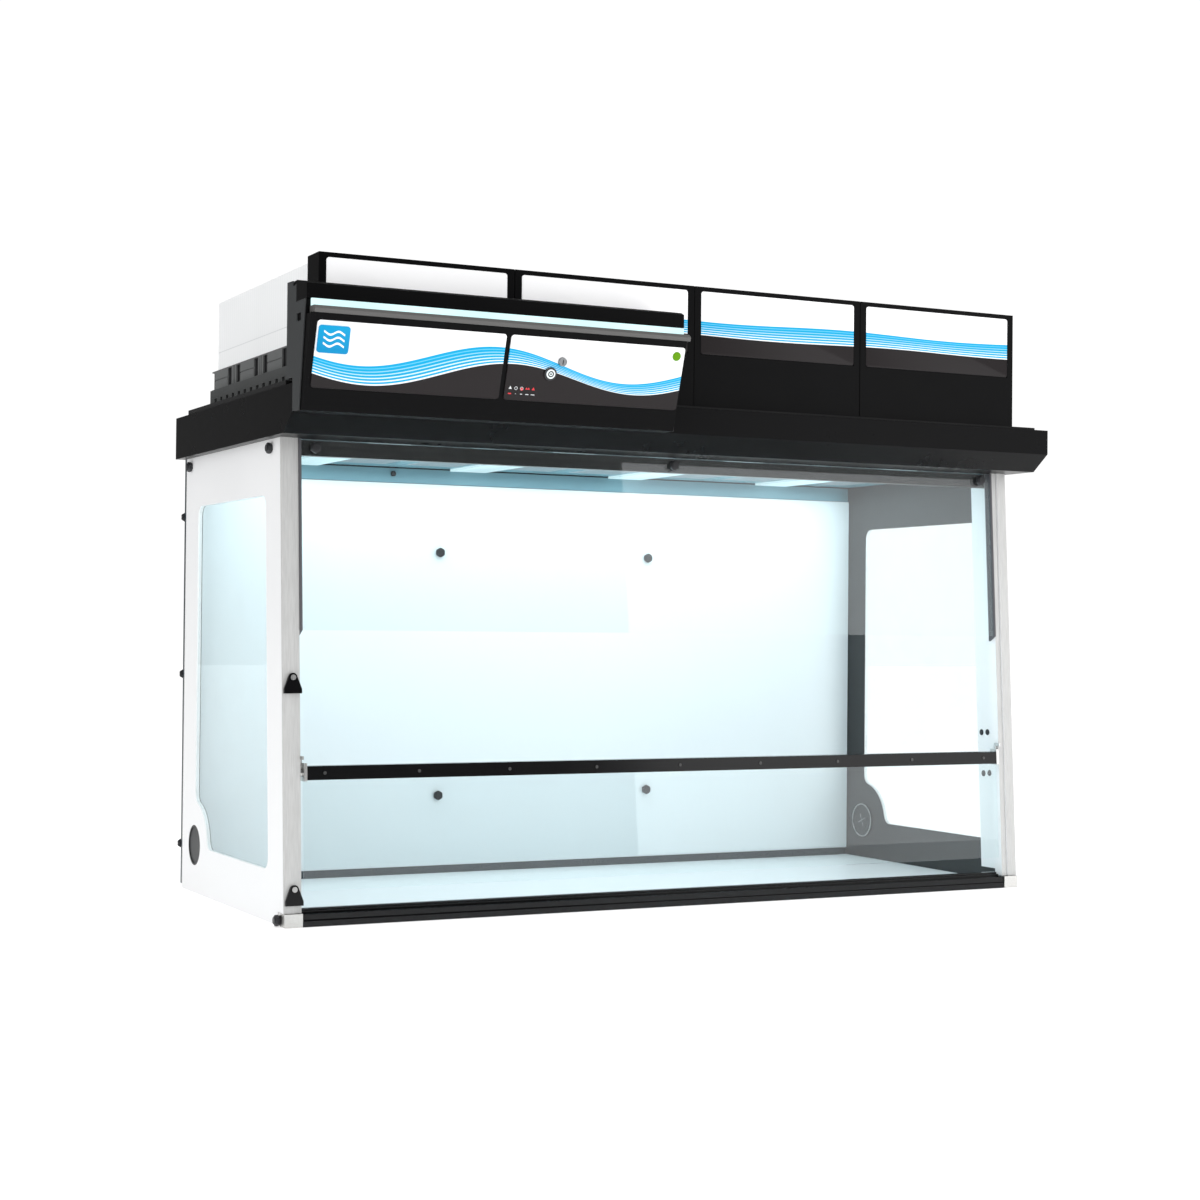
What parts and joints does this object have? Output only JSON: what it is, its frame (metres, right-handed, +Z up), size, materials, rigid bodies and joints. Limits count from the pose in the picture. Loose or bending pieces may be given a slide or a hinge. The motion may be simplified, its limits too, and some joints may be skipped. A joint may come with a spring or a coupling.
{
  "type": "ductless filtering fume hood",
  "caption": "Bench-top ductless fume hood: glazed work chamber with a hinged lower flap, roof-mounted filter and fan columns and a lit control box.",
  "frame": {"origin": "on the bench, under the middle of the hood's overall box", "axes": "+X along the width, to the right as the user faces the hood; +Y to the rear; +Z up"},
  "size_m": [1.844, 0.934, 1.341],
  "materials": {
    "white_panel": "satin",
    "post_grey": "satin",
    "bench_white": "satin",
    "sill_black": "gloss",
    "cap_silver": "satin",
    "clear_glass": "gloss",
    "back_white": "satin",
    "dark_frame": "satin",
    "seal_grey": "matte",
    "black_metal": "satin",
    "deck_black": "satin",
    "cover_black": "satin",
    "label_print": "satin",
    "housing_white": "satin",
    "filter_grey": "satin",
    "carbon": "matte",
    "prefilter": "matte",
    "ceiling_blue": "satin",
    "light_strip": "gloss",
    "cheek_grey": "satin",
    "lip_grey": "satin",
    "status_light": "gloss",
    "bright_metal": "satin",
    "knob_black": "satin",
    "wire_steel": "satin",
    "fan_grey": "satin",
    "motor_metal": "satin",
    "board_green": "satin",
    "badge_blue": "gloss"
  },
  "bodies": {
    "hood": {"worktop": "bench_white", "front_sill": "sill_black", "sill_end_caps": "cap_silver", "side_frames": "white_panel", "side_windows": "clear_glass", "port_covers": "cheek_grey", "front_posts": "post_grey", "rear_panel": "back_white", "rear_frame": "dark_frame", "upper_pane": "clear_glass", "pane_seals": "seal_grey", "front_beam": "dark_frame", "catch_screws": "bright_metal", "plenum_tray": "black_metal", "power_inlet": "deck_black", "filter_deck": "deck_black", "ceiling_panel": "ceiling_blue", "prefilters": "prefilter", "light_bars": "light_strip", "cover_plates": "label_print", "carbon_beds": "carbon", "exhaust_guards": "wire_steel", "fan_motors": "motor_metal", "control_housing": "cover_black", "control_cheeks": "cheek_grey", "light_bar_hood": "cover_black", "status_light_bar": "status_light", "light_bar_lip": "lip_grey", "circuit_board": "board_green", "control_panel_left": "label_print", "control_panel_right": "label_print", "button_bezel": "bright_metal", "badge": "badge_blue", "panel_knobs": "knob_black", "front_cover_1": "cover_black", "filter_1": "filter_grey", "fan_housing_1": "housing_white", "front_cover_2": "cover_black", "filter_2": "filter_grey", "fan_housing_2": "housing_white", "front_cover_3": "cover_black", "filter_3": "filter_grey", "fan_housing_3": "housing_white", "front_cover_4": "cover_black", "filter_4": "filter_grey", "fan_housing_4": "housing_white"},
    "flap": {"flap_pane": "clear_glass", "flap_rail": "sill_black", "flap_screws": "bright_metal", "flap_end_fittings": "bright_metal"},
    "left_lever": {"latch_lever_left": "bright_metal"},
    "right_lever": {"latch_lever_right": "bright_metal"},
    "upper_catch": {"catch_upper": "sill_black"},
    "lower_catch": {"catch_lower": "sill_black"},
    "button": {"power_button": "label_print"},
    "lock": {"lock_barrel": "bright_metal"},
    "fan_1": {"impeller_1": "fan_grey"},
    "fan_2": {"impeller_2": "fan_grey"},
    "fan_3": {"impeller_3": "fan_grey"},
    "fan_4": {"impeller_4": "fan_grey"}
  },
  "joints": [
    {"name": "flap_swing", "type": "hinge", "parent": "hood", "child": "flap", "pos_m": [0, -0.25589, 0.304], "axis": [-1, 0, 0], "range_deg": [0, 180]},
    {"name": "left_lever_turn", "type": "hinge", "parent": "hood", "child": "left_lever", "pos_m": [-0.8596, -0.25589, 0.304], "axis": [-1, 0, 0], "range_deg": [0, 80]},
    {"name": "right_lever_turn", "type": "hinge", "parent": "hood", "child": "right_lever", "pos_m": [0.8596, -0.25589, 0.304], "axis": [-1, 0, 0], "range_deg": [0, 80]},
    {"name": "upper_catch_turn", "type": "hinge", "parent": "hood", "child": "upper_catch", "pos_m": [-0.8795, -0.25753, 0.495], "axis": [0, -0.9984, 0.0562], "range_deg": [0, 90]},
    {"name": "lower_catch_turn", "type": "hinge", "parent": "hood", "child": "lower_catch", "pos_m": [-0.8795, -0.28118, 0.075], "axis": [0, -0.9984, 0.0562], "range_deg": [0, 90]},
    {"name": "button_press", "type": "slide", "parent": "hood", "child": "button", "axis": [0, 0.9531, 0.3026], "range_m": [0, 0.002], "stiffness_N_per_m": 700},
    {"name": "lock_turn", "type": "hinge", "parent": "hood", "child": "lock", "pos_m": [-0.38, -0.44771, 1.138], "axis": [0, 0.9531, 0.3026], "range_deg": [0, 90]},
    {"name": "fan_1_spin", "type": "hinge", "parent": "hood", "child": "fan_1", "pos_m": [-0.64125, 0.059, 1.24], "axis": [0, 0, 1], "continuous": true},
    {"name": "fan_2_spin", "type": "hinge", "parent": "hood", "child": "fan_2", "pos_m": [-0.21375, 0.059, 1.24], "axis": [0, 0, 1], "continuous": true},
    {"name": "fan_3_spin", "type": "hinge", "parent": "hood", "child": "fan_3", "pos_m": [0.21375, 0.059, 1.24], "axis": [0, 0, 1], "continuous": true},
    {"name": "fan_4_spin", "type": "hinge", "parent": "hood", "child": "fan_4", "pos_m": [0.64125, 0.059, 1.24], "axis": [0, 0, 1], "continuous": true}
  ]
}
